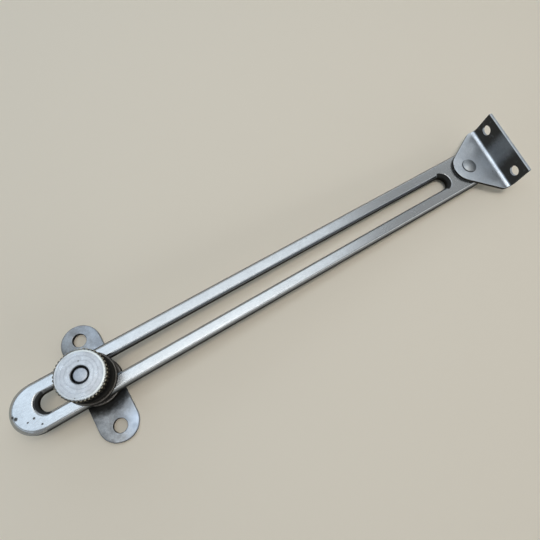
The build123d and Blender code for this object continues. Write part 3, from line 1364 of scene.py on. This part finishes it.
@dataclass
class AngleBracket:
    """The folded bracket on the arm's far end."""

    rivet: Point = (RIVET_X, ARM_LINE, ARM_TOP)
    turned_by: float = BRACKET_TURN
    sheet: float = SHEET_TOP - ARM_TOP
    tip_radius: float = 7.0
    flange_inside: float = FLANGE_INSIDE
    half_length: float = 14.8
    rise: float = 12.7
    bend: float = 2.5
    taper: float = 3.4
    side_round: float = 2.8
    corner_round: float = 0.5
    edge_round: float = 0.14
    rivet_hole: float = 2.05
    screw_hole: float = 2.1
    screw_place: float = 10.75
    screw_drop: float = 5.9
    steps: int = 40
    finish: WornMetal = BracketPlating(
        name="bracket plating",
        bright=(0.62, 0.67, 0.73),
        dull=(0.46, 0.51, 0.57),
        dark=(0.028, 0.024, 0.018),
        wall_darkening=1.0,
        gloss=0.42,
        dull_gloss=0.50,
    )

    def plan(self) -> tuple[Vector, Vector]:
        """Finds where the taper meets the round tip and the flange's end.

        Returns:
            The touching point on the tip and the corner by the flange, on the far side.
        """
        corner = Vector((self.flange_inside - self.taper, self.half_length))
        lean = math.atan2(corner.y, corner.x)
        lean += math.acos(self.tip_radius / corner.length)
        touch = Vector((math.cos(lean), math.sin(lean))) * self.tip_radius
        return touch, corner

    def build(self) -> bpy.types.Object:
        """Models the bracket flat, folds it, drills it and turns it into place.

        Returns:
            The bracket.
        """
        touch, corner = self.plan()
        bend_start = self.flange_inside - self.bend
        half_turn = math.degrees(math.atan2(touch.y, touch.x))
        blank = Blank("angle_bracket_seen", (touch.x, touch.y, 0))
        blank.arc((0, 0, 0), 2 * (180 - half_turn), self.steps)
        blank.line(
            (corner.x, -corner.y, 0),
            (bend_start, -corner.y, 0),
            (bend_start, corner.y, 0),
            (corner.x, corner.y, 0),
            (touch.x, touch.y, 0),
        )
        blank.join().everything().fill()
        blank.pick(
            Part.POINTS,
            lambda at, way: abs(at.x - corner.x) < TOUCH and abs(abs(at.y) - corner.y) < TOUCH,
        )
        side = corner - touch
        reach = self.side_round * math.tan(Vector((1, 0)).angle(side) / 2)
        blank.soften(reach, 8, points=True)
        blank.everything().extrude((0, 0, self.sheet))
        blank.pick(Part.FACES, lambda at, way: abs(at.x - bend_start) < TOUCH and abs(way.x) > 0.9)
        blank.fold((bend_start, 0, self.sheet + self.bend), (0, 1, 0), -90, 10)
        blank.pick(
            Part.FACES, lambda at, way: at.x > bend_start + self.bend and abs(way.z) > 0.99
        )
        blank.extrude((0, 0, self.rise - self.sheet - self.bend))
        blank.close()
        blank.pick(
            Part.EDGES,
            lambda at, way: abs(way.x) > 0.9
            and abs(at.z - self.rise) < TOUCH
            and abs(abs(at.y) - self.half_length) < TOUCH,
        )
        blank.soften(self.corner_round, 4)
        blank.cut(drill(self.rivet_hole, (0, 0, self.sheet / 2), 2 * self.sheet, (0, 0, 1), 40))
        for way in (-1, 1):
            middle = (
                self.flange_inside + self.sheet / 2,
                way * self.screw_place,
                self.rise - self.screw_drop,
            )
            blank.cut(drill(self.screw_hole, middle, 2 * self.sheet, (1, 0, 0), 40))
        blank.join()
        blank.ease(lambda at, way: True, 50, self.edge_round, 2)
        blank.everything().turn(self.turned_by, (0, 0, 0)).move(self.rivet)
        return settle(blank.finish(), "bracket", self.finish)


@dataclass
class PivotRivet:
    """The rivet that joins the bracket to the arm."""

    centre: Point = (RIVET_X, ARM_LINE, 0.0)
    tail_base: float = 7.5
    arm_base: float = ARM_BASE
    sheet_top: float = SHEET_TOP
    band: float = 0.45
    rise: float = 1.1
    shank: float = 2.0
    head: float = 2.95
    tail: float = 3.2
    tail_bevel: float = 0.4
    dome_steps: int = 8
    finish: WornMetal = WornMetal(
        name="rivet steel",
        bright=(0.356, 0.383, 0.409),
        dull=(0.251, 0.271, 0.29),
        gloss=0.40,
        dull_gloss=0.50,
    )

    def build(self) -> bpy.types.Object:
        """Turns the rivet and moves it to its place.

        Returns:
            The rivet.
        """
        dome = self.rise - self.band
        ball = (self.head**2 + dome**2) / (2 * dome)
        middle = self.sheet_top + self.rise - ball
        reach = math.asin(self.head / ball)
        corners = [
            (0, self.tail_base, 0),
            (self.tail - self.tail_bevel, self.tail_base, 0.2),
            (self.tail, self.tail_base + self.tail_bevel, 0.2),
            (self.tail, self.arm_base, 0),
            (self.shank, self.arm_base, 0),
            (self.shank, self.sheet_top, 0),
            (self.head, self.sheet_top, 0),
        ]
        for part in range(self.dome_steps, -1, -1):
            angle = reach * part / self.dome_steps
            corners.append((ball * math.sin(angle), middle + ball * math.cos(angle), 0))
        blank = turned("pivot_rivet_seen", corners, 64, False)
        blank.everything().move(self.centre)
        return settle(blank.finish(), "arm", self.finish)


# ---------------------------------------------------------------------------------------------
# Studio
# ---------------------------------------------------------------------------------------------


@dataclass(frozen=True)
class Softbox:
    """A large soft lamp that looks at the object."""

    name: str
    place: Point
    target: Point
    width: float
    depth: float
    radiance: float
    colour: Colour

    def light(self) -> None:
        """Hangs the lamp."""
        bpy.ops.object.light_add(type="AREA", location=Vector(self.place) * MM)
        lamp = bpy.context.active_object
        lamp.name = self.name
        lamp.data.shape = "RECTANGLE"
        lamp.data.size = self.width * MM
        lamp.data.size_y = self.depth * MM
        lamp.data.energy = self.radiance * math.pi * self.width * self.depth * MM**2
        lamp.data.color = self.colour
        way = Vector(self.target) - Vector(self.place)
        lamp.rotation_euler = way.to_track_quat("-Z", "Y").to_euler()


@dataclass
class Studio:
    """Camera, bench, lamps and the pale room round them."""

    eye: Point = (28.03, -34.17, 152.52)
    lens: float = 27.49
    look: Point = (2.7091, -0.7486, 0.2919)
    bench_edge: float = 6.7
    bench_slope: float = 0.0459
    bench_middle: float = 80.0
    bench_size: float = 1480.0
    bench_gap: float = 0.02
    sensor: float = 36.0
    nearest: float = 5.0
    farthest: float = 20000.0
    bench_colour: Colour = (0.90, 0.82, 0.69)
    room: Colour = (0.08, 0.08, 0.08)
    backdrop: Colour = (0.50, 0.50, 0.49)
    softboxes: tuple[Softbox, ...] = (
        Softbox("key", (85, -35, 620), (85, -35, 0), 380, 140, 5.8, (1.0, 0.95, 0.88)),
        Softbox("ceiling", (60, 170, 620), (60, 0, 0), 760, 240, 1.5, (0.88, 0.95, 1.0)),
        Softbox("window", (-280, 230, 600), (-20, 0, 0), 440, 360, 0.5, (0.33, 0.64, 1.0)),
        Softbox("doorway", (800, 50, 330), (40, 0, 0), 500, 300, 0.9, (1.0, 0.98, 0.90)),
        Softbox("near wall", (480, -750, 210), (480, 0, 40), 1400, 380, 1.45, (0.95, 0.98, 1.0)),
        Softbox("far wall", (300, 750, 210), (300, 0, 40), 1400, 380, 0.9, (0.75, 0.89, 1.0)),
        Softbox("upper wall", (450, 720, 640), (100, 0, 40), 1700, 480, 0.3, (0.85, 0.93, 1.0)),
        Softbox("hall", (-670, 0, 200), (0, 0, 40), 1200, 340, 0.65, (0.72, 0.88, 1.0)),
    )

    def camera(self) -> None:
        """Sets the camera where the eye was."""
        turn = Vector(self.look)
        axes = Matrix.Rotation(turn.length, 3, turn.normalized())
        facing = axes.transposed() @ Matrix.Diagonal((1, -1, -1))
        bpy.ops.object.camera_add()
        camera = bpy.context.active_object
        camera.name = "eye"
        camera.matrix_world = Matrix.Translation(Vector(self.eye) * MM) @ facing.to_4x4()
        camera.data.lens = self.lens
        camera.data.sensor_width = self.sensor
        camera.data.clip_start = self.nearest * MM
        camera.data.clip_end = self.farthest * MM
        bpy.context.scene.camera = camera

    def bench(self) -> None:
        """Lays the bench, tilted as the part rests on it."""
        height = (self.bench_middle - self.bench_edge) * self.bench_slope
        bpy.ops.mesh.primitive_plane_add(
            size=self.bench_size * MM,
            location=(self.bench_middle * MM, 0, (height - self.bench_gap) * MM),
            rotation=(0, -math.atan(self.bench_slope), 0),
        )
        bench = bpy.context.active_object
        bench.name = "bench"
        graph = Graph("bench")
        graph.surface(Base_Color=self.bench_colour, Roughness=0.75)
        bench.data.materials.append(graph.material)

    def surroundings(self) -> None:
        """Lights the room evenly and shows it pale behind the bench and in the metal."""
        world = bpy.data.worlds.new("room")
        bpy.context.scene.world = world
        world.use_nodes = True
        tree = world.node_tree
        tree.nodes.clear()
        rays = tree.nodes.new("ShaderNodeLightPath")
        mix = tree.nodes.new("ShaderNodeMixShader")
        for slot, colour in ((1, self.room), (2, self.backdrop)):
            shade = tree.nodes.new("ShaderNodeBackground")
            shade.inputs["Color"].default_value = (*colour, 1)
            tree.links.new(shade.outputs[0], mix.inputs[slot])
        output = tree.nodes.new("ShaderNodeOutputWorld")
        seen_by = rays.outputs["Is Camera Ray"]
        for kind in ("Is Glossy Ray", "Is Transmission Ray"):
            either = tree.nodes.new("ShaderNodeMath")
            either.operation = "MAXIMUM"
            tree.links.new(seen_by, either.inputs[0])
            tree.links.new(rays.outputs[kind], either.inputs[1])
            seen_by = either.outputs[0]
        tree.links.new(seen_by, mix.inputs[0])
        tree.links.new(mix.outputs[0], output.inputs["Surface"])

    def build(self) -> None:
        """Sets up the whole studio."""
        self.camera()
        self.bench()
        for softbox in self.softboxes:
            softbox.light()
        self.surroundings()
        bpy.context.scene.view_settings.view_transform = "Standard"


def main() -> None:
    """Builds the studio and every piece."""
    logging.basicConfig(level=logging.INFO, format="%(name)s: %(message)s")
    Studio().build()
    ScrewPlate().build()
    stack = StudStack()
    stack.build_stud()
    stack.build_collar()
    stack.build_washer()
    SlottedArm().build()
    ThumbNut().build()
    AngleBracket().build()
    PivotRivet().build()


if __name__ == "__main__":
    main()
